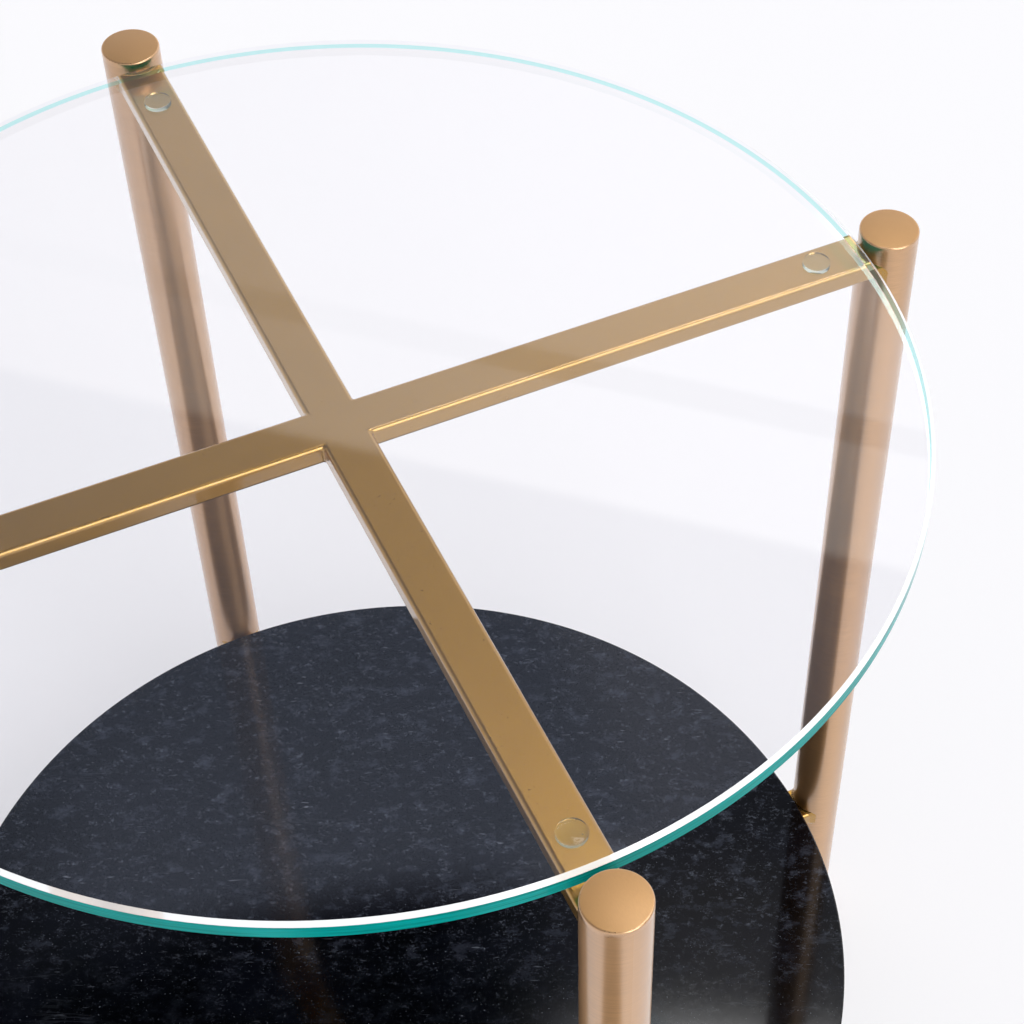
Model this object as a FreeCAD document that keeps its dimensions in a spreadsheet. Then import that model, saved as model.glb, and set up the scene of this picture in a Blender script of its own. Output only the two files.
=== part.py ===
import FreeCAD, Part

import math
import os

import Sketcher

# Round tiered side table, 560 mm high: a welded frame of four tube legs and two crosses of flat
# tube carries a loose round glass top and a loose round marble shelf on clear bumpers.
# Frame: +Z up, origin on the floor under the middle of the table. X runs from the left leg to
# the right leg and Y from the front leg to the back leg. Lengths are in millimetres.

SIZES = (
    ("table_height", 560, "floor to the flat top of a leg"),
    ("leg_diameter", 28, "outside of the leg tube"),
    ("leg_wall", 1.5, "wall of the leg tube"),
    ("cap_thickness", 3, "disc welded on the top of a leg"),
    ("cap_edge", 0.6, "bevel that eases the disc's upper rim"),
    ("rail_width", 22, "flat tube of both crosses, across"),
    ("rail_height", 10, "flat tube of both crosses, upright"),
    ("rail_wall", 1.2, "wall of the flat tube"),
    ("rail_corner", 1.5, "outer rounding of the flat tube's long edges"),
    ("weld_root", 0.15, "gap between a rail's coped end and its leg"),
    ("weld_bead", 1.6, "leg length of the weld round a rail's end"),
    ("center_weld", 1.5, "leg length of the weld in a cross's inner corners"),
    ("glass_diameter", 508, "glass top"),
    ("glass_thickness", 10, "glass top"),
    ("glass_arris", 1.8, "polished bevel on both rims of the glass"),
    ("glass_gap", 3, "between the glass rim and a leg"),
    ("glass_recess", 0.3, "glass top face below the tops of the legs"),
    ("shelf_height", 117, "floor to the marble's upper face"),
    ("shelf_thickness", 10, "marble shelf"),
    ("shelf_arris", 0.8, "ground bevel on both rims of the marble"),
    ("shelf_gap", 4.5, "between the marble's rim and a leg"),
    ("bumper_diameter", 12.7, "clear bumper"),
    ("bumper_height", 2.2, "clear bumper"),
    ("bumper_edge", 0.9, "bevel of a bumper's upper rim"),
    ("bumper_inset", 38, "leg axis to bumper centre"),
    ("glide_flange", 4, "foot glide under the leg tube"),
    ("glide_edge", 1.5, "bevel of the glide's lower rim"),
    ("glide_plug", 18, "length of the glide's plug inside the leg"),
    ("glide_wall", 2.4, "wall of the plug at the roots of its ribs"),
    ("glide_rib", 0.7, "height of a rib on the plug"),
    ("glide_fit", 0.05, "between a rib's crest and the bore of the leg"),
)
GLIDE_RIBS = 2

# Sizes that follow from the ones above, as expressions over the sheet.
LEG_RADIUS = "(Sizes.leg_diameter / 2)"
LEG_BORE = "(Sizes.leg_diameter / 2 - Sizes.leg_wall)"
LEG_OFFSET = f"(Sizes.glass_diameter / 2 + Sizes.glass_gap + {LEG_RADIUS})"
TUBE_TOP = "(Sizes.table_height - Sizes.cap_thickness)"
GLASS_BOTTOM = "(Sizes.table_height - Sizes.glass_recess - Sizes.glass_thickness)"
SHELF_BOTTOM = "(Sizes.shelf_height - Sizes.shelf_thickness)"
SHELF_RADIUS = f"({LEG_OFFSET} - {LEG_RADIUS} - Sizes.shelf_gap)"
BUMPER_OFFSET = f"({LEG_OFFSET} - Sizes.bumper_inset)"
HALF_RAIL = "(Sizes.rail_width / 2)"
HALF_RAIL_HEIGHT = "(Sizes.rail_height / 2)"

# Top face of the rails of each cross, and what lies on that cross's bumpers.
TIERS = {
    "upper": (f"({GLASS_BOTTOM} - Sizes.bumper_height)", "glass"),
    "lower": (f"({SHELF_BOTTOM} - Sizes.bumper_height)", "shelf"),
}

# Direction of each leg from the middle of the table, in degrees about +Z.
LEGS = {"right": 0, "back": 90, "left": 180, "front": 270}

SAME_LEVEL = 1e-6  # mm, for telling which edges lie at a height
X_AXIS = FreeCAD.Vector(1, 0, 0)
Z_AXIS = FreeCAD.Vector(0, 0, 1)

doc = FreeCAD.newDocument("tiered_side_table")
sheet = doc.addObject("Spreadsheet::Sheet", "Sizes")
for row, (alias, size, meaning) in enumerate(SIZES, start=1):
    sheet.set(f"A{row}", alias)
    sheet.set(f"B{row}", str(size))
    sheet.setAlias(f"B{row}", alias)
    sheet.set(f"C{row}", meaning)
doc.recompute()

sub_parts = []


def value(expression):
    """Present value of an expression over the sheet."""
    result = sheet.evalExpression(expression)
    return float(getattr(result, "Value", result))


def place(thing, direction=0, along="0", up="0"):
    """Put a piece at a distance from the table's axis, in a direction about +Z, at a height."""
    turn = FreeCAD.Rotation(Z_AXIS, direction)
    way = turn.multVec(X_AXIS)
    thing.Placement = FreeCAD.Placement(FreeCAD.Vector(), turn)
    thing.setExpression(".Placement.Base.x", f"{round(way.x)} * {along}")
    thing.setExpression(".Placement.Base.y", f"{round(way.y)} * {along}")
    thing.setExpression(".Placement.Base.z", up)


def name_sub_part(thing, label):
    """Label a finished piece as one of the table's sub-parts."""
    thing.Label = label
    sub_parts.append(thing)


def one_at_each_leg(label, piece, along, up):
    """Four separate copies of a piece as one sub-part, each turned to its leg's direction."""
    copies = []
    for leg, direction in LEGS.items():
        copy = doc.addObject("App::Link", f"{label}_{leg}")
        copy.LinkedObject = piece
        place(copy, direction, along, up)
        copies.append(copy)
    group = doc.addObject("Part::Compound", label)
    group.Links = copies
    name_sub_part(group, label)


# Sketches and features


def add_sketch(body, plane_role):
    """Empty sketch on one of the body's own origin planes."""
    sketch = body.newObject("Sketcher::SketchObject", "Sketch")
    plane = next(item for item in body.Origin.OriginFeatures if item.Role == plane_role)
    sketch.AttachmentSupport = [(plane, "")]
    sketch.MapMode = "FlatFace"
    return sketch


def bind(sketch, kind, *where, expression):
    """Add a dimension to a sketch and bind it to the sheet."""
    index = sketch.addConstraint(Sketcher.Constraint(kind, *where, value(expression)))
    sketch.setExpression(f"Constraints[{index}]", expression)


def add_circle(sketch, radius, x=None, side=1):
    """Circle about the sketch's origin, or about a point on either side along its x axis."""
    middle = FreeCAD.Vector(side * value(x), 0, 0) if x else FreeCAD.Vector()
    circle = sketch.addGeometry(Part.Circle(middle, Z_AXIS, value(radius)), False)
    bind(sketch, "Radius", circle, expression=radius)
    if x is None:
        sketch.addConstraint(Sketcher.Constraint("Coincident", circle, 3, -1, 1))
        return
    sketch.addConstraint(Sketcher.Constraint("PointOnObject", circle, 3, -1))
    ends = (-1, 1, circle, 3) if side > 0 else (circle, 3, -1, 1)
    bind(sketch, "DistanceX", *ends, expression=x)


def add_rounded_rectangle(sketch, width, height, corner):
    """Rectangle about the sketch's origin with four equal rounded corners."""
    across = value(width) / 2 - value(corner)
    upright = value(height) / 2 - value(corner)
    arcs = []
    for quarter, (x, y) in enumerate(((1, 1), (-1, 1), (-1, -1), (1, -1))):
        circle = Part.Circle(FreeCAD.Vector(x * across, y * upright, 0), Z_AXIS, value(corner))
        sweep = (math.radians(90 * quarter), math.radians(90 * quarter + 90))
        arcs.append(sketch.addGeometry(Part.ArcOfCircle(circle, *sweep), False))
    for quarter, arc in enumerate(arcs):
        following = arcs[(quarter + 1) % len(arcs)]
        edge = Part.LineSegment(
            sketch.Geometry[arc].EndPoint, sketch.Geometry[following].StartPoint
        )
        line = sketch.addGeometry(edge, False)
        sketch.addConstraint(Sketcher.Constraint("Tangent", arc, 2, line, 1))
        sketch.addConstraint(Sketcher.Constraint("Tangent", line, 2, following, 1))
        level = "Vertical" if quarter % 2 else "Horizontal"
        sketch.addConstraint(Sketcher.Constraint(level, line))
        if quarter:
            sketch.addConstraint(Sketcher.Constraint("Equal", arcs[0], arc))
    sketch.addConstraint(Sketcher.Constraint("Symmetric", arcs[0], 3, arcs[2], 3, -1, 1))
    bind(sketch, "Radius", arcs[0], expression=corner)
    bind(sketch, "DistanceX", arcs[1], 3, arcs[0], 3, expression=f"{width} - 2 * {corner}")
    bind(sketch, "DistanceY", arcs[3], 3, arcs[0], 3, expression=f"{height} - 2 * {corner}")


def add_outline(sketch, corners):
    """Closed outline of straight edges through corners given as pairs of expressions."""
    spots = [FreeCAD.Vector(value(x), value(y), 0) for x, y in corners]
    lines = []
    for spot, following in zip(spots, spots[1:] + spots[:1]):
        lines.append(sketch.addGeometry(Part.LineSegment(spot, following), False))
    for line, previous, (x, y) in zip(lines, lines[-1:] + lines[:-1], corners):
        sketch.addConstraint(Sketcher.Constraint("Coincident", previous, 2, line, 1))
        bind(sketch, "DistanceX", -1, 1, line, 1, expression=x)
        bind(sketch, "DistanceY", -1, 1, line, 1, expression=y)


def four_quarters(corners):
    """Corners in the first quarter of a sketch and their mirror images, in turn about it."""
    turned = corners[::-1]
    return [
        corners,
        [(f"-{x}", y) for x, y in turned],
        [(f"-{x}", f"-{y}") for x, y in corners],
        [(x, f"-{y}") for x, y in turned],
    ]


def add_even_outline(sketch, corners):
    """Closed outline that is alike in all four quarters, from its corners in the first."""
    add_outline(sketch, sum(four_quarters(corners), []))


def pad(body, sketch, length, symmetric=False):
    """Pad a sketch."""
    feature = body.newObject("PartDesign::Pad", "Pad")
    feature.Profile = sketch
    feature.SideType = "Symmetric" if symmetric else "One side"
    feature.setExpression("Length", length)
    return feature


def turn_about_z(body, sketch):
    """Revolve a sketch of the XZ plane about the body's Z axis."""
    feature = body.newObject("PartDesign::Revolution", "Revolution")
    feature.Profile = sketch
    feature.ReferenceAxis = (sketch, ["V_Axis"])


def pocket_through(body, sketch):
    """Cut a sketch right through the body, both ways."""
    feature = body.newObject("PartDesign::Pocket", "Pocket")
    feature.Profile = sketch
    feature.Type = "ThroughAll"
    feature.SideType = "Symmetric"
    return feature


def bevel_rims(body, levels, size):
    """Bevel the body's outermost round rims at the given heights."""
    doc.recompute()
    base = body.Tip
    rims = []
    for level in levels:
        circles = [
            (edge.Curve.Radius, f"Edge{index}")
            for index, edge in enumerate(base.Shape.Edges, start=1)
            if isinstance(edge.Curve, Part.Circle)
            and abs(edge.Curve.Center.z - level) < SAME_LEVEL
        ]
        rims.append(max(circles)[1])
    feature = body.newObject("PartDesign::Chamfer", "Chamfer")
    feature.Base = (base, rims)
    feature.setExpression("Size", size)


def disc_body(label, radius, thickness):
    """Round disc standing on its own origin."""
    body = doc.addObject("PartDesign::Body", label)
    sketch = add_sketch(body, "XY_Plane")
    add_circle(sketch, radius)
    pad(body, sketch, thickness)
    return body


# Legs, with their caps and glides


def leg_tube(label, direction):
    """Round leg tube between the glide's flange and the cap."""
    body = doc.addObject("PartDesign::Body", label)
    name_sub_part(body, label)
    sketch = add_sketch(body, "XY_Plane")
    add_circle(sketch, LEG_RADIUS)
    add_circle(sketch, LEG_BORE)
    pad(body, sketch, f"{TUBE_TOP} - Sizes.glide_flange")
    place(body, direction, LEG_OFFSET, "Sizes.glide_flange")


def leg_cap():
    """Flat disc, ground flush with the leg tube that it closes, with its upper rim eased."""
    body = disc_body("leg_cap", LEG_RADIUS, "Sizes.cap_thickness")
    bevel_rims(body, [value("Sizes.cap_thickness")], "Sizes.cap_edge")
    return body


def foot_glide():
    """Moulded glide: a flange under the leg tube and a hollow plug with saw-tooth ribs in it."""
    crest = f"({LEG_BORE} - Sizes.glide_fit)"
    root = f"({crest} - Sizes.glide_rib)"
    bore = f"({root} - Sizes.glide_wall)"
    top = "(Sizes.glide_flange + Sizes.glide_plug)"
    outline = [("0", "0"), (LEG_RADIUS, "0"), (LEG_RADIUS, "Sizes.glide_flange")]
    for rib in range(GLIDE_RIBS):
        foot = f"(Sizes.glide_flange + Sizes.glide_plug * {rib} / {GLIDE_RIBS})"
        outline += [(root, foot), (crest, foot)] if rib else [(crest, foot)]
    outline += [(root, top), (bore, top), (bore, "Sizes.glide_flange")]
    outline.append(("0", "Sizes.glide_flange"))
    body = doc.addObject("PartDesign::Body", "foot_glide")
    sketch = add_sketch(body, "XZ_Plane")
    add_outline(sketch, outline)
    turn_about_z(body, sketch)
    bevel_rims(body, [0], "Sizes.glide_edge")
    return body


# Crosses


def add_rail_section(sketch):
    """Outer section of the flat tube about the sketch's origin."""
    add_rounded_rectangle(sketch, "Sizes.rail_width", "Sizes.rail_height", "Sizes.rail_corner")


def rail(label, tier_top, direction, through):
    """Flat tube from leg to leg, or from the through rail to a leg, its ends coped to both."""
    body = doc.addObject("PartDesign::Body", label)
    name_sub_part(body, label)
    section = add_sketch(body, "YZ_Plane")
    add_rail_section(section)
    pad(body, section, f"2 * {LEG_OFFSET}" if through else LEG_OFFSET, symmetric=through)
    bore = add_sketch(body, "YZ_Plane")
    bore_x = f"({HALF_RAIL} - Sizes.rail_wall)"
    bore_y = f"({HALF_RAIL_HEIGHT} - Sizes.rail_wall)"
    add_even_outline(bore, [(bore_x, bore_y)])
    pocket_through(body, bore)
    cope = add_sketch(body, "XY_Plane")
    for end in (1, -1) if through else (1,):
        add_circle(cope, f"({LEG_RADIUS} + Sizes.weld_root)", LEG_OFFSET, end)
    pocket_through(body, cope)
    if not through:
        flank = add_sketch(body, "XZ_Plane")
        add_rail_section(flank)
        pocket_through(body, flank)
    place(body, direction, up=f"{tier_top} - {HALF_RAIL_HEIGHT}")


def end_bead():
    """Flat-faced weld all round a rail's end, about its leg's axis, with the rail towards -X.

    A ring turned about the leg slopes down to the rail's faces at 45 degrees. A window for the
    rail is cut in it, and lines from the rail's sides to the leg trim it in plan.
    """
    toe_level = f"({HALF_RAIL_HEIGHT} + Sizes.weld_bead)"
    rim = f"({LEG_RADIUS} + {toe_level})"
    ring = doc.addObject("PartDesign::Body", "bead_ring")
    section = add_sketch(ring, "XZ_Plane")
    add_outline(section, [(LEG_RADIUS, f"-{toe_level}"), (rim, "0"), (LEG_RADIUS, toe_level)])
    turn_about_z(ring, section)
    window = add_sketch(ring, "YZ_Plane")
    corner = "(Sizes.rail_corner * (2 - sqrt(2)))"
    flat_x = f"({HALF_RAIL} - {corner})"
    flat_y = f"({HALF_RAIL_HEIGHT} - {corner})"
    add_even_outline(window, [(HALF_RAIL, flat_y), (flat_x, HALF_RAIL_HEIGHT)])
    pocket_through(ring, window)

    toe_y = f"({HALF_RAIL} + Sizes.weld_bead)"
    toe_x = f"sqrt({LEG_RADIUS}^2 - {toe_y}^2)"
    seam_x = f"sqrt({LEG_RADIUS}^2 - {HALF_RAIL}^2)"
    side = [(toe_x, toe_y), (f"({seam_x} + Sizes.weld_bead)", HALF_RAIL), (rim, HALF_RAIL)]
    corners = [("0", "0")] + [(f"-{x}", y) for x, y in side]
    corners += [(f"-{x}", f"-{y}") for x, y in reversed(side)]
    plan = doc.addObject("PartDesign::Body", "bead_plan")
    footprint = add_sketch(plan, "XY_Plane")
    add_outline(footprint, corners)
    pad(plan, footprint, f"2 * {toe_level}", symmetric=True)

    bead = doc.addObject("Part::Common", "end_bead")
    bead.Base = ring
    bead.Tool = plan
    return bead


def corner_welds(label, tier_top):
    """Flat-faced weld up each of the four inner corners at the middle of one cross."""
    body = doc.addObject("PartDesign::Body", label)
    body.AllowCompound = True
    name_sub_part(body, label)
    sketch = add_sketch(body, "XY_Plane")
    toe = f"({HALF_RAIL} + Sizes.center_weld)"
    for corners in four_quarters([(HALF_RAIL, HALF_RAIL), (toe, HALF_RAIL), (HALF_RAIL, toe)]):
        add_outline(sketch, corners)
    pad(body, sketch, "Sizes.rail_height", symmetric=True)
    place(body, up=f"{tier_top} - {HALF_RAIL_HEIGHT}")


# What the frame carries


def bumper():
    """Clear stick-on bumper, flat on top with a bevelled rim."""
    body = disc_body("bumper", "(Sizes.bumper_diameter / 2)", "Sizes.bumper_height")
    bevel_rims(body, [value("Sizes.bumper_height")], "Sizes.bumper_edge")
    return body


def loose_disc(label, radius, thickness, arris, bottom):
    """Round plate that lies on a cross's bumpers, with both rims bevelled."""
    body = disc_body(label, radius, thickness)
    name_sub_part(body, label)
    bevel_rims(body, [0, value(thickness)], arris)
    place(body, up=bottom)


for leg, direction in LEGS.items():
    leg_tube(f"leg_{leg}", direction)
one_at_each_leg("leg_caps", leg_cap(), LEG_OFFSET, TUBE_TOP)
one_at_each_leg("foot_glides", foot_glide(), LEG_OFFSET, "0")

bead = end_bead()
stick_on = bumper()
for tier, (tier_top, carried) in TIERS.items():
    rail(f"{tier}_rail_front_to_back", tier_top, 90, through=True)
    for side in ("right", "left"):
        rail(f"{tier}_rail_{side}", tier_top, LEGS[side], through=False)
    rail_middle = f"{tier_top} - {HALF_RAIL_HEIGHT}"
    one_at_each_leg(f"{tier}_leg_welds", bead, LEG_OFFSET, rail_middle)
    corner_welds(f"{tier}_center_welds", tier_top)
    one_at_each_leg(f"{carried}_bumpers", stick_on, BUMPER_OFFSET, tier_top)

loose_disc(
    "glass_top",
    "(Sizes.glass_diameter / 2)",
    "Sizes.glass_thickness",
    "Sizes.glass_arris",
    GLASS_BOTTOM,
)
loose_disc(
    "marble_shelf", SHELF_RADIUS, "Sizes.shelf_thickness", "Sizes.shelf_arris", SHELF_BOTTOM
)

doc.recompute()
for thing in doc.Objects:
    if {"Invalid", "Error"} & set(thing.State):
        raise RuntimeError(f"{thing.Label} did not rebuild: {thing.State}")
for thing in sub_parts:
    if thing.Shape.isNull() or not thing.Shape.isValid() or not thing.Shape.Solids:
        raise RuntimeError(f"{thing.Label} has no sound solid")

os.makedirs("parts", exist_ok=True)
for thing in sub_parts:
    thing.Shape.exportStep(os.path.join("parts", f"{thing.Label}.step"))
    print(f"{thing.Label}: {len(thing.Shape.Solids)} solid(s), {thing.Shape.Volume:.1f} mm3")
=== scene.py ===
import math

import bpy
from mathutils import Matrix, Vector, noise


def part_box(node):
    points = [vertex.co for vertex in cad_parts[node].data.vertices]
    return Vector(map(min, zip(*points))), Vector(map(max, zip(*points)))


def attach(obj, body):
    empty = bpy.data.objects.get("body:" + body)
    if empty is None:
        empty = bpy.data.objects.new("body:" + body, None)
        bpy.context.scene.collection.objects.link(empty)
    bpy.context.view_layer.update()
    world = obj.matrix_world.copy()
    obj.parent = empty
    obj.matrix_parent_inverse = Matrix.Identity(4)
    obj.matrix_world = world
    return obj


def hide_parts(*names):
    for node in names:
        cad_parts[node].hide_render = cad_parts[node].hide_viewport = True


# Dressing of the tiered side table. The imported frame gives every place. The caps, rails, welds,
# bumpers, glass and marble are rebuilt here with finer rounding inside the same outlines, and the
# rails, whose bores no one sees, are rebuilt as closed bars. Lengths in metres.

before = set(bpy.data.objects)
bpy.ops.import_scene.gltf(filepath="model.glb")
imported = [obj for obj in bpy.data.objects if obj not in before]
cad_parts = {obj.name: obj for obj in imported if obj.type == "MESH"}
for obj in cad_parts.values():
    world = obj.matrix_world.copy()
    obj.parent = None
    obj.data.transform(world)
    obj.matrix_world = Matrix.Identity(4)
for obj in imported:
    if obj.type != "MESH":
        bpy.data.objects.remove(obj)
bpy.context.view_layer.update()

MM = 0.001
ROUND = 256  # segments round the glass and the marble
TURN = 96  # segments round a leg's cap or a bumper
EASE_STEPS = 5  # steps round the rim of a cap or a bumper

# Sizes that the frame's nodes give

front_low, front_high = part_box("leg_front")
LEG_RADIUS = (front_high.x - front_low.x) / 2
LEG_OFFSET = -(front_low.y + front_high.y) / 2
RAIL = {tier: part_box(f"{tier}_rail_front_to_back") for tier in ("upper", "lower")}
RAIL_WIDTH = RAIL["upper"][1].x - RAIL["upper"][0].x
RAIL_HEIGHT = RAIL["upper"][1].z - RAIL["upper"][0].z
HALF_WIDTH = RAIL_WIDTH / 2
HALF_HEIGHT = RAIL_HEIGHT / 2
LEGS = {"right": 0, "back": 90, "left": 180, "front": 270}

# Sizes of the finishing that the frame leaves plainer

SKIN = 0.02 * MM  # keeps faces of neighbouring pieces from lying in one plane
RAIL_CORNER = 2.0 * MM
RAIL_CORNER_STEPS = 6
RAIL_SPACING = 1.5 * MM  # longest straight run at a rail's end
WELD_ROOT = 0.15 * MM
BEAD = 1.6 * MM
BEAD_STEPS = 6
BEAD_SPACING = 0.35 * MM  # between sections along a bead
BEAD_RIPPLE = 1.25 * MM  # between ripples of a bead
BEAD_SINK = 5 * SKIN  # how far a bead's root goes into its leg
FILLET = 1.5 * MM
FILLET_ROOT = 0.3 * MM  # how far a fillet's root goes into the rails
FILLET_STEPS = 8
CAP_EASE = 0.7 * MM
GLASS_ARRIS = 1.8 * MM
MARBLE_ARRIS = 0.8 * MM
BUMPER_RADIUS = 6.35 * MM
BUMPER_EASE = 0.5 * MM


# Meshes


def make_piece(name, vertices, faces, materials, body, slot, stands_for, smooth=30, outward=None):
    """Mesh piece that rides on a body and stands for CAD nodes. faces hold their material index."""
    mesh = bpy.data.meshes.new(name)
    mesh.from_pydata(vertices, [], [corners for corners, _ in faces])
    mesh.polygons.foreach_set("material_index", [index for _, index in faces])
    for material in materials:
        mesh.materials.append(material)
    mesh.validate()
    mesh.update()
    piece = bpy.data.objects.new(name, mesh)
    bpy.context.scene.collection.objects.link(piece)
    mesh.shade_smooth()
    mesh.set_sharp_from_angle(angle=math.radians(smooth))
    if outward:
        mesh.normals_split_custom_set_from_vertices(outward)
    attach(piece, body)
    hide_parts(*stands_for)
    return piece


def revolve(profile, segments, centre=(0, 0)):
    """Vertices and faces of a solid turned about a vertical line, from (radius, height, material).

    The profile runs from the top rim down to the bottom rim, and its ends close with flat faces.
    """
    vertices, faces = [], []
    for radius, height, _ in profile:
        for step in range(segments):
            angle = 2 * math.pi * step / segments
            vertices.append(
                (
                    centre[0] + radius * math.cos(angle),
                    centre[1] + radius * math.sin(angle),
                    height,
                )
            )
    for ring, (_, _, material) in enumerate(profile[:-1]):
        for step in range(segments):
            following = (step + 1) % segments
            upper, lower = ring * segments, (ring + 1) * segments
            faces.append(
                ((upper + following, upper + step, lower + step, lower + following), material)
            )
    last = (len(profile) - 1) * segments
    faces.append((tuple(range(segments)), 0))
    faces.append((tuple(last + step for step in reversed(range(segments))), 0))
    return vertices, faces


def merged(*solids):
    """One list of vertices and faces from several."""
    vertices, faces = [], []
    for more_vertices, more_faces in solids:
        start = len(vertices)
        vertices += more_vertices
        faces += [(tuple(start + v for v in corners), index) for corners, index in more_faces]
    return vertices, faces


def turned(solid, degrees, up=0.0):
    """A solid turned about the table's axis and lifted."""
    matrix = Matrix.Translation((0, 0, up)) @ Matrix.Rotation(math.radians(degrees), 4, "Z")
    return [tuple(matrix @ Vector(v)) for v in solid[0]], solid[1]


def eased(radius, top, ease, material=0):
    """Profile points down a rounded rim, from its flat top to its side."""
    points = []
    for step in range(EASE_STEPS + 1):
        angle = math.pi / 2 * step / EASE_STEPS
        across, up = ease * math.sin(angle), ease * math.cos(angle)
        points.append((radius - ease + across, top - ease + up, material))
    return points


# Rails


def rail_section():
    """(across, up, outward across, outward up) round the flat tube's rounded rectangle."""
    points = []
    flat_y, flat_z = HALF_WIDTH - RAIL_CORNER, HALF_HEIGHT - RAIL_CORNER
    for quarter, (y, z) in enumerate(((1, 1), (-1, 1), (-1, -1), (1, -1))):
        for step in range(RAIL_CORNER_STEPS + 1):
            angle = math.radians(90 * quarter + 90 * step / RAIL_CORNER_STEPS)
            out_y, out_z = math.cos(angle), math.sin(angle)
            points.append(
                (
                    y * flat_y + RAIL_CORNER * out_y,
                    z * flat_z + RAIL_CORNER * out_z,
                    out_y,
                    out_z,
                )
            )
    return points


def denser(points, longest):
    """Section points with the straight runs divided, so that an end can follow a curve."""
    result = []
    for point, following in zip(points, points[1:] + points[:1]):
        run = math.hypot(following[0] - point[0], following[1] - point[1])
        pieces = max(1, math.ceil(run / longest))
        for part in range(pieces):
            share = part / pieces
            result.append(tuple(a + (b - a) * share for a, b in zip(point, following)))
    return result


def recess(up):
    """How far a rail's side stands back from its widest at a height above its middle."""
    over = max(0.0, abs(up) - (HALF_HEIGHT - RAIL_CORNER))
    return RAIL_CORNER - math.sqrt(max(0.0, RAIL_CORNER**2 - over**2))


def leg_end(across, gap):
    """Where a rail along +X ends against its leg, at a distance across."""
    return LEG_OFFSET - math.sqrt((LEG_RADIUS + gap) ** 2 - across**2)


def rail(through):
    """Flat tube along X, coped to the leg or legs, and to the through rail's side if it is half."""
    section = denser(rail_section(), RAIL_SPACING)
    count = len(section)
    ends = [
        [
            -leg_end(y, WELD_ROOT) if through else HALF_WIDTH - recess(z)
            for y, z, _, _ in section
        ],
        [leg_end(y, WELD_ROOT) for y, _, _, _ in section],
    ]
    vertices = []
    for end in ends:
        vertices += [(x, y, z) for x, (y, z, _, _) in zip(end, section)]
    faces = []
    for step in range(count):
        following = (step + 1) % count
        faces.append(((step, following, count + following, count + step), 0))
    faces.append((tuple(reversed(range(count))), 0))
    faces.append((tuple(range(count, 2 * count)), 0))
    return vertices, faces


def rail_outward(degrees):
    """Outward direction at each vertex of a rail that is turned about the table's axis."""
    turn = Matrix.Rotation(math.radians(degrees), 3, "Z")
    section = denser(rail_section(), RAIL_SPACING)
    return [turn @ Vector((0, out_y, out_z)).normalized() for _, _, out_y, out_z in section] * 2


def swept_faces(rows, width, closed):
    """Faces between rows of width vertices each, with each row's ends joined round."""
    faces = []
    for row in range(rows if closed else rows - 1):
        start, next_start = row * width, (row + 1) % rows * width
        for part in range(width):
            near, far = part, (part + 1) % width
            faces.append(((start + near, next_start + near, next_start + far, start + far), 0))
    return faces


def end_bead(seed):
    """Rippled weld all round a rail's end against its leg, for a rail along +X."""
    section = denser(rail_section(), BEAD_SPACING)
    vertices, travelled = [], 0.0
    previous = section[-1]
    for y, z, out_y, out_z in section:
        travelled += math.hypot(y - previous[0], z - previous[1])
        previous = (y, z)
        ripple = 0.5 + 0.5 * math.cos(2 * math.pi * travelled / BEAD_RIPPLE)
        lump = noise.noise(Vector((y, z, seed * MM)) * 260)
        size = BEAD * min(1.0, 0.84 + 0.1 * ripple + 0.16 * lump)
        root = Vector((leg_end(y, 0), y, z))
        on_rail = Vector((root.x - size, y, z))
        leg_y = y + out_y * size
        on_leg = Vector((leg_end(leg_y, -SKIN), leg_y, z + out_z * size))
        crown = root + (on_rail - root + on_leg - root) * 0.6
        vertices.append(tuple(root + Vector((BEAD_SINK, 0, 0))))
        for step in range(BEAD_STEPS + 1):
            t = step / BEAD_STEPS
            spot = on_rail * (1 - t) ** 2 + crown * 2 * t * (1 - t) + on_leg * t**2
            vertices.append(tuple(spot))
    return vertices, swept_faces(len(section), BEAD_STEPS + 2, closed=True)


def corner_weld(seed):
    """Smooth weld up the inner corner between the through rail and a half rail, at +X +Y."""
    levels = sorted(
        {round(z, 7) for _, z, _, _ in rail_section()}
        | {step * MM for step in (-3, -2, -1, 0, 1, 2, 3)}
    )
    width = FILLET_STEPS + 2
    vertices = []
    for z in levels:
        inner = HALF_WIDTH - recess(z)
        lump = noise.noise(Vector((seed, z / MM * 0.6, 0)))
        size = FILLET * (0.86 + 0.14 * lump)
        vertices.append((inner - FILLET_ROOT, inner - FILLET_ROOT, z))
        for step in range(FILLET_STEPS + 1):
            angle = math.pi + math.pi / 2 * step / FILLET_STEPS
            vertices.append(
                (
                    inner + size + size * math.cos(angle),
                    inner + size + size * math.sin(angle),
                    z,
                )
            )
    faces = swept_faces(len(levels), width, closed=False)
    last = (len(levels) - 1) * width
    faces.append((tuple(range(width)), 0))
    faces.append((tuple(reversed(range(last, last + width))), 0))
    return vertices, faces


# Materials


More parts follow.
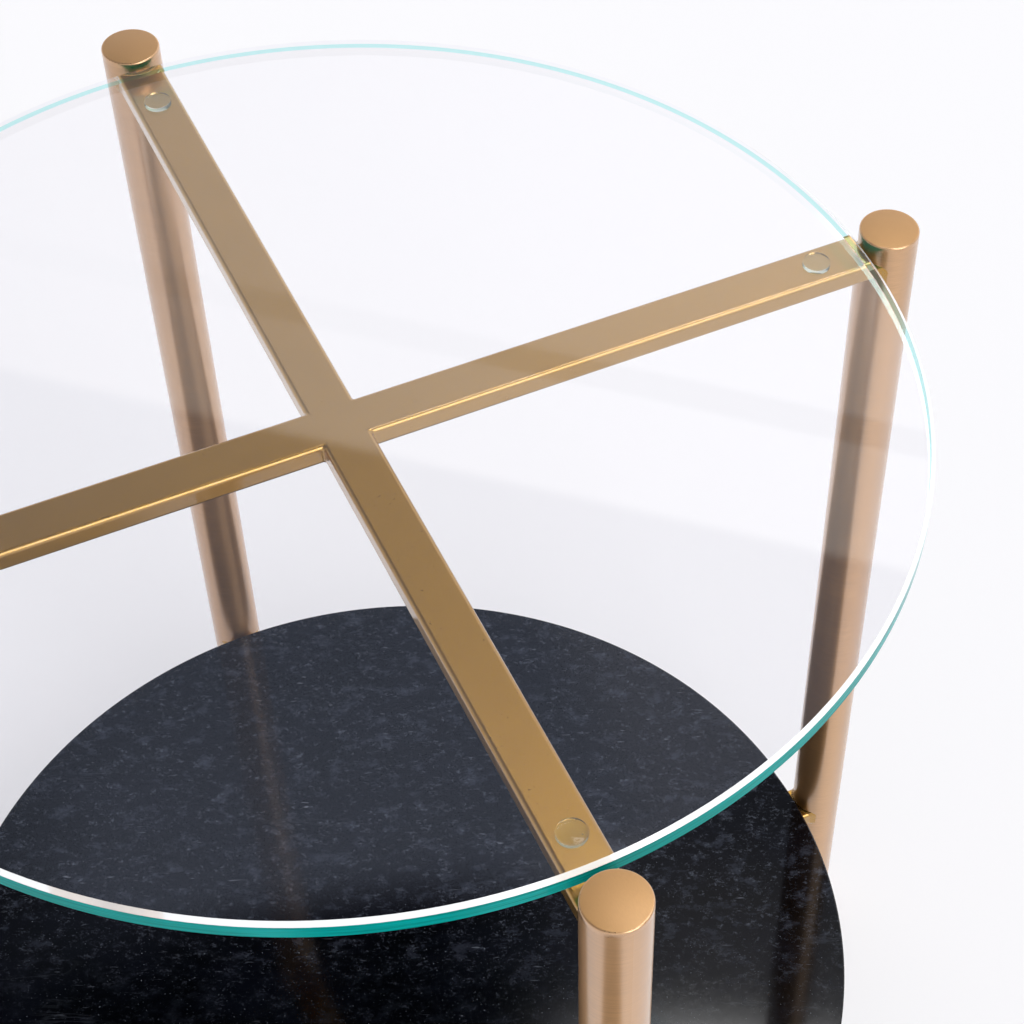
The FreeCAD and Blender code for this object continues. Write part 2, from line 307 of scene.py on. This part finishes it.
class Shader:
    """A material, or the world, whose nodes are added by type and wired by name."""

    def __init__(self, owner):
        owner.use_nodes = True
        self.owner = owner
        self.tree = owner.node_tree
        self.tree.nodes.clear()

    def add(self, kind, inputs=None, **settings):
        """A node with its settings, and inputs given as values or as other nodes' outputs."""
        node = self.tree.nodes.new(kind)
        for key, setting in settings.items():
            setattr(node, key, setting)
        for key, given in (inputs or {}).items():
            if isinstance(given, bpy.types.NodeSocket):
                self.tree.links.new(given, node.inputs[key])
            else:
                node.inputs[key].default_value = given
        return node

    def math(self, operation, *values, clamp=False):
        """Output of a math node."""
        inputs = dict(enumerate(values))
        return self.add("ShaderNodeMath", inputs, operation=operation, use_clamp=clamp).outputs[0]

    def product(self, first, *others):
        """Output of math nodes that multiply values together, in the order given."""
        for other in others:
            first = self.math("MULTIPLY", first, other)
        return first

    def between(self, value, low, high, to_low=0.0, to_high=1.0):
        """A value's place between two levels, smoothed."""
        node = self.add(
            "ShaderNodeMapRange",
            {
                "Value": value,
                "From Min": low,
                "From Max": high,
                "To Min": to_low,
                "To Max": to_high,
            },
            interpolation_type="SMOOTHSTEP",
        )
        return node.outputs[0]

    def mix(self, factor, first, second):
        """Colour mix of two colours or outputs."""
        node = self.add("ShaderNodeMix", data_type="RGBA")
        for index, given in ((0, factor), (6, first), (7, second)):
            if isinstance(given, bpy.types.NodeSocket):
                self.tree.links.new(given, node.inputs[index])
            else:
                node.inputs[index].default_value = given if index == 0 else (*given, 1)
        return node.outputs[2]

    def places(self, scale=(1, 1, 1), turn=0.0):
        """The piece's own coordinates along axes turned about Z in degrees, then stretched."""
        coordinates = self.add("ShaderNodeTexCoord")
        mapping = self.add(
            "ShaderNodeMapping",
            {
                "Vector": coordinates.outputs["Object"],
                "Rotation": (0, 0, math.radians(turn)),
                "Scale": tuple(1 / each for each in scale),
            },
            vector_type="TEXTURE",
        )
        return mapping.outputs[0]

    def noise(self, where, scale, detail=3.0, rough=0.5):
        """Noise between 0 and 1."""
        node = self.add(
            "ShaderNodeTexNoise",
            {"Vector": where, "Scale": scale, "Detail": detail, "Roughness": rough},
        )
        return node.outputs[0]

    def bump(self, height, distance, strength=1.0, under=None):
        """Normal from a height, on top of another normal."""
        inputs = {"Height": height, "Distance": distance, "Strength": strength}
        if under is not None:
            inputs["Normal"] = under
        return self.add("ShaderNodeBump", inputs).outputs[0]

    def output(self, shader):
        """The owner, with the shader as its surface."""
        kind = "World" if isinstance(self.owner, bpy.types.World) else "Material"
        self.add(f"ShaderNodeOutput{kind}", {"Surface": shader})
        return self.owner


def gold(name, colour, stretch, grain, rough, wave, coat, brushed=0.0):
    """Lacquered satin gold, with stretch giving the grain's frequency along each axis.

    grain and wave are bump depths, coat holds an IOR and a roughness, and brushed above 0 spreads
    the highlight round a leg.
    """
    s = Shader(bpy.data.materials.new(name))
    fine = s.noise(s.places(stretch), 1.0, 4.0, 0.65)
    cloud = s.noise(s.places(), 38.0, 3.0)
    slow = s.noise(s.places(), 14.0, 1.0)
    deeper = tuple(0.93 * c for c in colour)
    darkest = tuple((0.88 if brushed else 0.96) * c for c in colour)
    tone = s.mix(s.between(cloud, 0.3, 0.7), colour, deeper)
    principled = s.add(
        "ShaderNodeBsdfPrincipled",
        {
            "Base Color": s.mix(s.between(fine, 0.62, 0.38), tone, darkest),
            "Metallic": 1.0,
            "Roughness": s.between(fine, 0.25, 0.75, rough - 0.04, rough + 0.04),
            "Anisotropic": brushed,
            "Anisotropic Rotation": 0.25,
            "Normal": s.bump(fine, grain, under=s.bump(slow, wave)),
            "Coat Weight": 1.0,
            "Coat Roughness": coat[1],
            "Coat IOR": coat[0],
        },
    )
    if brushed:
        round_leg = s.add("ShaderNodeTangent", direction_type="RADIAL", axis="Z")
        s.tree.links.new(round_leg.outputs[0], principled.inputs["Tangent"])
    return s.output(principled.outputs[0])


GOLD = (0.43, 0.23, 0.032)
LEG_GOLD = (0.6, 0.335, 0.145)
CAP_GOLD = (0.465, 0.247, 0.08)
THIN_COAT, CAP_COAT, LEG_COAT = (1.6, 0.03), (1.5, 0.35), (1.85, 0.18)  # IOR and roughness
gold_leg = gold("gold_leg", LEG_GOLD, (70, 70, 1500), 0.006 * MM, 0.38, 0.3 * MM, LEG_COAT, 0.8)
gold_rim = gold("gold_rim", LEG_GOLD, (900, 900, 900), 0.003 * MM, 0.3, 0.2 * MM, LEG_COAT)
gold_rail = gold("gold_rail", GOLD, (700, 700, 700), 0.002 * MM, 0.31, 0.15 * MM, THIN_COAT)
gold_cap = gold("gold_cap", CAP_GOLD, (1500, 500, 800), 0.01 * MM, 0.44, 0.2 * MM, CAP_COAT)
gold_weld = gold("gold_weld", GOLD, (1400, 1400, 1400), 0.02 * MM, 0.26, 0.5 * MM, THIN_COAT)


def only_when_looked_through(s, shader, tint):
    """Clear to lamps and to rays that bounce off other surfaces, so they light what is below."""
    path = s.add("ShaderNodeLightPath")
    clear = s.add("ShaderNodeBsdfTransparent", {"Color": (*tint, 1)}).outputs[0]
    seen = shader
    for ray, given in (
        ("Is Glossy Ray", clear),
        ("Is Singular Ray", seen),
        ("Is Diffuse Ray", clear),
        ("Is Shadow Ray", clear),
    ):
        mixed = s.add("ShaderNodeMixShader", {0: path.outputs[ray], 1: shader, 2: given})
        shader = mixed.outputs[0]
    return shader


def clear_glass():
    """Polished float glass whose flat faces have a faint cool tint."""
    s = Shader(bpy.data.materials.new("clear_glass"))
    slow = s.noise(s.places(), 9.0, 1.0)
    principled = s.add(
        "ShaderNodeBsdfPrincipled",
        {
            "Base Color": (0.98, 0.975, 0.99, 1),
            "Roughness": 0.0,
            "IOR": 1.52,
            "Transmission Weight": 1.0,
            "Normal": s.bump(slow, 0.02 * MM),
        },
    )
    return s.output(only_when_looked_through(s, principled.outputs[0], (0.94, 0.94, 0.95)))


def two_sided(s, outside, tint):
    """One shader from outside the plate, and a clear tint from inside it."""
    side = s.add("ShaderNodeNewGeometry")
    inside = s.add("ShaderNodeBsdfTransparent", {"Color": (*tint, 1)})
    both = s.add(
        "ShaderNodeMixShader", {0: side.outputs["Backfacing"], 1: outside, 2: inside.outputs[0]}
    )
    return s.output(both.outputs[0])


def glass_edge_painted_glow():
    """The glass's upright edge, teal, with painted light: the light that runs inside the plate and
    leaves here is painted as a faint teal glow, and a painted reflection makes it lighter and bluer
    towards +X.
    """
    s = Shader(bpy.data.materials.new("glass_edge_painted_glow"))
    slow = s.noise(s.places(), 16.0, 2.0)
    draw = s.noise(s.places((1, 1, 40)), 30.0, 3.0)
    x = s.add("ShaderNodeSeparateXYZ", {0: s.places()}).outputs[0]
    teal = s.mix(s.between(slow, 0.35, 0.65), (0.0, 0.175, 0.162), (0.002, 0.22, 0.207))
    # Painted reflection: the teal turns lighter and bluer towards +X.
    teal = s.mix(s.between(x, 0.1, 0.21), teal, (0.045, 0.26, 0.265))
    teal = s.mix(s.between(draw, 0.4, 0.7), teal, (0.0, 0.135, 0.12))
    outside = s.add(
        "ShaderNodeBsdfPrincipled",
        {
            "Base Color": teal,
            "Roughness": s.between(draw, 0.3, 0.7, 0.05, 0.12),
            "IOR": 1.52,
            "Specular IOR Level": 0.06,
            "Normal": s.bump(draw, 0.01 * MM),
            # Painted glow: the edge glows faintly in its own teal, standing in for the light that
            # runs inside the plate and leaves here.
            "Emission Color": teal,
            "Emission Strength": 0.4,
        },
    )
    return two_sided(s, outside.outputs[0], (0.975, 0.985, 0.995))


def glass_arris():
    """The fine bevels along the glass's rim: half clear, half white."""
    s = Shader(bpy.data.materials.new("glass_arris"))
    grain = s.noise(s.places(), 900.0, 3.0)
    outside = s.add(
        "ShaderNodeBsdfPrincipled",
        {
            "Base Color": s.mix(grain, (0.93, 0.96, 0.965), (0.98, 0.99, 0.995)),
            "Roughness": 0.0,
            "IOR": 1.52,
            "Transmission Weight": 0.5,
        },
    )
    return two_sided(s, outside.outputs[0], (0.58, 0.91, 0.9))


def clear_bumper(name, thin, thick):
    """Soft clear plastic whose tint drifts between two, not quite smooth."""
    s = Shader(bpy.data.materials.new(name))
    slow = s.noise(s.places(), 200.0, 2.0)
    principled = s.add(
        "ShaderNodeBsdfPrincipled",
        {
            "Base Color": s.mix(slow, thick, thin),
            "Roughness": 0.0,
            "IOR": 1.28,
            "Transmission Weight": 1.0,
            "Normal": s.bump(slow, 0.002 * MM),
        },
    )
    return s.output(only_when_looked_through(s, principled.outputs[0], (0.95, 0.98, 0.955)))


def black_marble():
    """Polished black marble: blue-grey clouding and mottle, tiny pale specks and short dashes."""
    s = Shader(bpy.data.materials.new("black_marble"))
    along = -27  # degrees, the run of the stone
    cloud = s.noise(s.places((1, 1.6, 1), along), 22.0, 6.0, 0.66)
    mottle = s.noise(s.places((1, 1.3, 1), along), 210.0, 5.0, 0.82)
    patch = s.noise(s.places((1, 1.4, 1), along), 75.0, 5.0, 0.7)
    x, y, _ = s.add("ShaderNodeSeparateXYZ", {0: s.places()}).outputs
    across = s.math("ADD", s.math("MULTIPLY", x, 0.45), s.math("MULTIPLY", y, 0.89))
    # Painted light and shade: the blotches, flecks and dashes show fully towards the back right of
    # the slab, which reads lighter, and fade to under a fifth towards the front left, which reads
    # darker.
    painted_lit_side = s.between(across, -0.04, 0.06, 0.18, 1.0)
    base = s.mix(s.between(cloud, 0.36, 0.66), (0.0002, 0.0003, 0.0008), (0.0013, 0.0016, 0.0034))
    blotch = s.math("MULTIPLY", s.between(patch, 0.5, 0.72), painted_lit_side)
    base = s.mix(blotch, base, (0.024, 0.028, 0.04))
    flecks = s.math("MULTIPLY", s.between(mottle, 0.53, 0.78), painted_lit_side)
    base = s.mix(flecks, base, (0.09, 0.102, 0.132))
    speck = s.noise(s.places(), 880.0, 2.0, 0.6)
    base = s.mix(s.between(speck, 0.68, 0.78), base, (0.17, 0.19, 0.22))
    drift = s.noise(s.places((1, 2.5, 1), along), 9.0, 3.0)
    dash = s.noise(s.places((85, 480, 300), along), 1.0, 2.0, 0.5)
    share = s.product(s.between(dash, 0.69, 0.76), s.between(drift, 0.42, 0.58), painted_lit_side)
    base = s.mix(share, base, (0.11, 0.12, 0.145))
    vein = s.noise(s.places((2.2, 15, 6), along), 1.6, 5.0, 0.6)
    line = s.math("ABSOLUTE", s.math("SUBTRACT", vein, 0.5))
    thin = s.math("MULTIPLY", s.between(line, 0.01, 0.0), s.between(drift, 0.5, 0.64))
    base = s.mix(s.math("MULTIPLY", thin, 0.15), base, (0.05, 0.056, 0.068))
    grain = s.noise(s.places(), 900.0, 3.0, 0.6)
    principled = s.add(
        "ShaderNodeBsdfPrincipled",
        {
            "Base Color": base,
            "Roughness": s.between(mottle, 0.3, 0.75, 0.06, 0.09),
            "IOR": 1.5,
            "Specular IOR Level": 0.22,
            "Normal": s.bump(grain, 0.001 * MM),
        },
    )
    return s.output(principled.outputs[0])


def black_plastic():
    """Moulded glide plastic with a fine spark texture."""
    s = Shader(bpy.data.materials.new("black_plastic"))
    grain = s.noise(s.places(), 1600.0, 3.0)
    cloud = s.noise(s.places(), 120.0, 2.0)
    principled = s.add(
        "ShaderNodeBsdfPrincipled",
        {
            "Base Color": s.mix(cloud, (0.012, 0.012, 0.013), (0.02, 0.02, 0.021)),
            "Roughness": s.between(grain, 0.3, 0.7, 0.42, 0.6),
            "Normal": s.bump(grain, 0.03 * MM),
        },
    )
    return s.output(principled.outputs[0])


# Pieces of the frame

for leg in LEGS:
    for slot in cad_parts[f"leg_{leg}"].material_slots:
        slot.material = gold_leg
plastic = black_plastic()
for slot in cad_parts["foot_glides"].material_slots:
    slot.material = plastic

cap_low, cap_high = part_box("leg_caps")
caps = []
for leg, direction in LEGS.items():
    way = Matrix.Rotation(math.radians(direction), 4, "Z") @ Vector((LEG_OFFSET, 0, 0))
    profile = eased(LEG_RADIUS, cap_high.z, CAP_EASE, material=1)
    profile.append((LEG_RADIUS, cap_low.z, 1))
    caps.append(revolve(profile, TURN, way.xy))
make_piece(
    "leg_caps_brushed",
    *merged(*caps),
    [gold_cap, gold_rim],
    "frame",
    "gold_frame",
    ["leg_caps"],
    50,
)

for tier, (low, high) in RAIL.items():
    middle = (low.z + high.z) / 2
    make_piece(
        f"{tier}_rail_front_to_back_tube",
        *turned(rail(through=True), 90, middle),
        [gold_rail],
        "frame",
        "gold_frame",
        [f"{tier}_rail_front_to_back"],
        outward=rail_outward(90),
    )
    for side in ("right", "left"):
        make_piece(
            f"{tier}_rail_{side}_tube",
            *turned(rail(through=False), LEGS[side], middle),
            [gold_rail],
            "frame",
            "gold_frame",
            [f"{tier}_rail_{side}"],
            outward=rail_outward(LEGS[side]),
        )
    beads = [
        turned(end_bead(7 * index), direction, middle)
        for index, direction in enumerate(LEGS.values())
    ]
    make_piece(
        f"{tier}_leg_weld_beads",
        *merged(*beads),
        [gold_weld],
        "frame",
        "gold_weld",
        [f"{tier}_leg_welds"],
        60,
    )
    corners = [
        turned(corner_weld(3.7 * index), direction, middle)
        for index, direction in enumerate(LEGS.values())
    ]
    make_piece(
        f"{tier}_center_weld_fillets",
        *merged(*corners),
        [gold_rail],
        "frame",
        "gold_weld",
        [f"{tier}_center_welds"],
        40,
    )

# What the frame carries

soft = clear_bumper("clear_bumper", (0.97, 0.985, 0.97), (0.93, 0.95, 0.93))
# Painted shade: the bumpers' side walls get a darker, greener tint than their tops, so that the rim
# reads as shaded.
shaded_bumper_side = clear_bumper("clear_bumper_side_painted_shade", (0.45, 0.55, 0.42), (0.38, 0.48, 0.36))
for carried in ("glass", "shelf"):
    low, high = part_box(f"{carried}_bumpers")
    tier_high = RAIL["upper" if carried == "glass" else "lower"][1].z
    inset = high.x - BUMPER_RADIUS
    discs = []
    for direction in LEGS.values():
        way = Matrix.Rotation(math.radians(direction), 4, "Z") @ Vector((inset, 0, 0))
        profile = eased(BUMPER_RADIUS, high.z - SKIN, BUMPER_EASE)
        profile[-1] = (*profile[-1][:2], 1)
        profile.append((BUMPER_RADIUS, tier_high + SKIN, 0))
        discs.append(revolve(profile, TURN, way.xy))
    make_piece(
        f"{carried}_bumper_discs",
        *merged(*discs),
        [soft, shaded_bumper_side],
        "frame",
        "clear_bumper",
        [f"{carried}_bumpers"],
        50,
    )

low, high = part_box("glass_top")
GLASS_RADIUS = high.x
profile = [
    (GLASS_RADIUS - GLASS_ARRIS, high.z, 2),
    (GLASS_RADIUS, high.z - GLASS_ARRIS, 1),
    (GLASS_RADIUS, low.z + GLASS_ARRIS, 2),
    (GLASS_RADIUS - GLASS_ARRIS, low.z, 0),
]
make_piece(
    "glass_top_plate",
    *revolve(profile, ROUND),
    [clear_glass(), glass_edge_painted_glow(), glass_arris()],
    "glass_top",
    "clear_glass",
    ["glass_top"],
)

low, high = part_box("marble_shelf")
MARBLE_RADIUS = high.x
profile = [
    (MARBLE_RADIUS - MARBLE_ARRIS, high.z, 0),
    (MARBLE_RADIUS, high.z - MARBLE_ARRIS, 0),
    (MARBLE_RADIUS, low.z + MARBLE_ARRIS, 0),
    (MARBLE_RADIUS - MARBLE_ARRIS, low.z, 0),
]
make_piece(
    "marble_shelf_slab",
    *revolve(profile, ROUND),
    [black_marble()],
    "marble_shelf",
    "black_marble",
    ["marble_shelf"],
)

# Room: a pale floor, and soft light from walls, an overhead panel and a panel by the camera

FLOOR_REACH = 9.0
FLOOR_DROP = 0.2 * MM  # under the glides, so that no faces lie in one plane
FLOOR_SIDES = 72
FLOOR_GLOW = 0.42  # share of the floor's look that is glow
DARK_REFLECTION_X, DARK_REFLECTION_Y = -0.165, -0.49  # middle of the painted dark patch, a painted reflection of shade in front of the table
DARK_REFLECTION_HALF_X, DARK_REFLECTION_HALF_Y = 0.165, 0.15


def pale_floor():
    """Near-white floor with painted shade greying it to the left, and a painted dark patch that
    only reflections show.

    Part of its white is a glow that the camera, the glass and the metal see: it softens the
    shadows and lights nothing.
    """
    s = Shader(bpy.data.materials.new("pale_floor"))
    where = s.places()
    x, y, _ = s.add("ShaderNodeSeparateXYZ", {0: where}).outputs
    cloud = s.noise(where, 1.2, 2.0)
    white = s.mix(cloud, (0.88, 0.875, 0.895), (0.89, 0.885, 0.905))
    # Painted shade: the floor greys towards the left, where less light falls on it.
    painted_shade_leftward = s.math("SUBTRACT", s.math("MULTIPLY", y, 0.25), x)
    colour = s.mix(s.between(painted_shade_leftward, 0.1, 1.1), white, (0.77, 0.77, 0.81))
    # Painted reflection: a dark patch in front of the table that only glossy rays off other
    # surfaces see, so the front leg mirrors a dark band; the camera and the glass see plain floor
    # there.
    across = s.math("DIVIDE", s.math("SUBTRACT", x, DARK_REFLECTION_X), DARK_REFLECTION_HALF_X)
    along = s.math("DIVIDE", s.math("SUBTRACT", y, DARK_REFLECTION_Y), DARK_REFLECTION_HALF_Y)
    off = s.math("ADD", s.math("POWER", across, 2.0), s.math("POWER", along, 2.0))
    path = s.add("ShaderNodeLightPath")
    glossy, through = path.outputs["Is Glossy Ray"], path.outputs["Is Transmission Ray"]
    mirrored = s.math("MAXIMUM", s.math("SUBTRACT", glossy, through), 0.0)
    painted_dark_reflection = s.math("MULTIPLY", s.between(off, 1.3, 0.5), mirrored)
    colour = s.mix(painted_dark_reflection, colour, (0.08, 0.07, 0.06))
    principled = s.add(
        "ShaderNodeBsdfPrincipled",
        {"Base Color": colour, "Roughness": 0.9, "Specular IOR Level": 0.1},
    )
    glow = s.add("ShaderNodeEmission", {"Color": colour, "Strength": 1.09})
    seen = s.math("MAXIMUM", path.outputs["Is Camera Ray"], glossy)
    share = s.math("MULTIPLY", seen, FLOOR_GLOW)
    both = s.add(
        "ShaderNodeMixShader", {0: share, 1: principled.outputs[0], 2: glow.outputs[0]}
    )
    return s.output(both.outputs[0])


floor_mesh = bpy.data.meshes.new("floor")
floor_mesh.from_pydata(
    [
        (FLOOR_REACH * math.cos(math.radians(a)), FLOOR_REACH * math.sin(math.radians(a)), 0)
        for a in range(0, 360, 360 // FLOOR_SIDES)
    ],
    [],
    [tuple(range(FLOOR_SIDES))],
)
floor_mesh.materials.append(pale_floor())
floor = bpy.data.objects.new("floor", floor_mesh)
floor.location.z = -FLOOR_DROP
bpy.context.scene.collection.objects.link(floor)


WALL_WAY = (0.669, 0.744, 0)  # level direction to the wall that the glass mirrors
WALL_TOP = 1.162  # height of its top edge over its distance
LEAST_WALL = 0.45  # z up to which there is wall in every direction
WINDOW_LIGHT = (5.0, 5.0, 4.9)
OVERHEAD_LIGHT = (15.0, 15.0, 15.0)


def studio():
    """World by direction: a white wall with a dark strip, dim above it, and soft panels.

    x, y and z are the direction's parts, so each between() is an edge of a zone of the sky.
    """
    s = Shader(bpy.data.worlds.new("studio"))
    way = s.add("ShaderNodeTexCoord").outputs["Generated"]
    x, y, z = s.add("ShaderNodeSeparateXYZ", {0: way}).outputs
    ahead = s.add("ShaderNodeVectorMath", {0: way, 1: WALL_WAY}, operation="DOT_PRODUCT")
    wall_side = (WALL_WAY[1], -WALL_WAY[0], 0)
    aside = s.add("ShaderNodeVectorMath", {0: way, 1: wall_side}, operation="DOT_PRODUCT")
    ahead, aside = ahead.outputs["Value"], aside.outputs["Value"]
    across = s.between(aside, -0.48, -0.05)
    top_edge = s.math("MAXIMUM", s.math("MULTIPLY", ahead, WALL_TOP), LEAST_WALL)
    wall = s.between(s.math("SUBTRACT", z, top_edge), 0.005, -0.005)
    rise = s.math("DIVIDE", z, s.math("MAXIMUM", ahead, 0.1))
    strip = s.math("MULTIPLY", s.between(rise, 1.028, 1.036), s.between(rise, 1.06, 1.052))
    dim = s.mix(s.between(aside, -0.39, -0.335), (0.16, 0.185, 0.24), (0.327, 0.37, 0.482))
    dim = s.mix(s.between(z, 0.83, 0.77), dim, (0.27, 0.31, 0.41))
    dim = s.mix(s.between(x, 0.24, 0.28), dim, (0.4, 0.43, 0.53))
    dim = s.mix(s.between(x, 0.0, -0.15), dim, (0.3, 0.3, 0.33))
    near = s.product(
        s.between(x, 0.2, 0.26), s.between(z, 0.826, 0.846), s.between(y, 0.545, 0.515)
    )
    dim = s.mix(near, dim, (0.8, 0.8, 0.87))
    ceiling = s.product(
        s.between(z, 0.832, 0.848), s.between(x, 0.24, 0.16), s.between(x, -0.2, -0.05)
    )
    dim = s.mix(ceiling, dim, (0.02, 0.02, 0.03))
    upper = s.mix(across, (0.8, 0.8, 0.84), (1.25, 1.25, 1.29))
    lower = s.mix(across, (1.0, 1.0, 1.03), (1.2, 1.2, 1.23))
    colour = s.mix(wall, dim, s.mix(s.between(z, 0.5, 0.35), upper, lower))
    colour = s.mix(strip, colour, (0.75, 0.76, 0.8))
    behind = s.product(
        s.between(y, 0.08, -0.12), s.between(x, -0.7, -0.45), s.between(z, 0.25, 0.35)
    )
    colour = s.mix(behind, colour, s.mix(s.between(z, 0.7, 0.85), (0.8, 0.8, 0.8), (0.5, 0.5, 0.5)))
    window = s.product(
        s.between(z, 0.35, 0.45),
        s.between(z, 0.9, 0.85),
        s.between(y, -0.15, -0.3),
        s.between(x, -0.1, 0.0),
        s.between(x, 0.5, 0.4),
    )
    colour = s.mix(window, colour, WINDOW_LIGHT)
    overhead = s.product(
        s.between(z, 0.866, 0.88),
        s.between(z, 0.93, 0.91),
        s.between(x, 0.18, 0.24),
        s.between(y, 0.1, 0.15),
    )
    colour = s.mix(overhead, colour, OVERHEAD_LIGHT)
    background = s.add("ShaderNodeBackground", {"Color": colour, "Strength": 1.0})
    return s.output(background.outputs[0])


bpy.context.scene.world = studio()
bpy.context.scene.view_settings.view_transform = "Standard"

# Camera fitted to the photograph. Its shift is held back so that the table stays in the picture
# when the camera is moved round it.

camera_data = bpy.data.cameras.new("camera")
camera_data.sensor_width = 36
camera_data.lens = 83.03
camera_data.shift_x = -0.1836
camera_data.shift_y = 0.0859
camera_data.clip_end = 50
camera = bpy.data.objects.new("camera", camera_data)
camera.location = (-0.20594, -0.67927, 1.28557)
camera.rotation_euler = tuple(math.radians(a) for a in (39.49501, -2.10103, -27.18939))
bpy.context.scene.collection.objects.link(camera)
bpy.context.scene.camera = camera
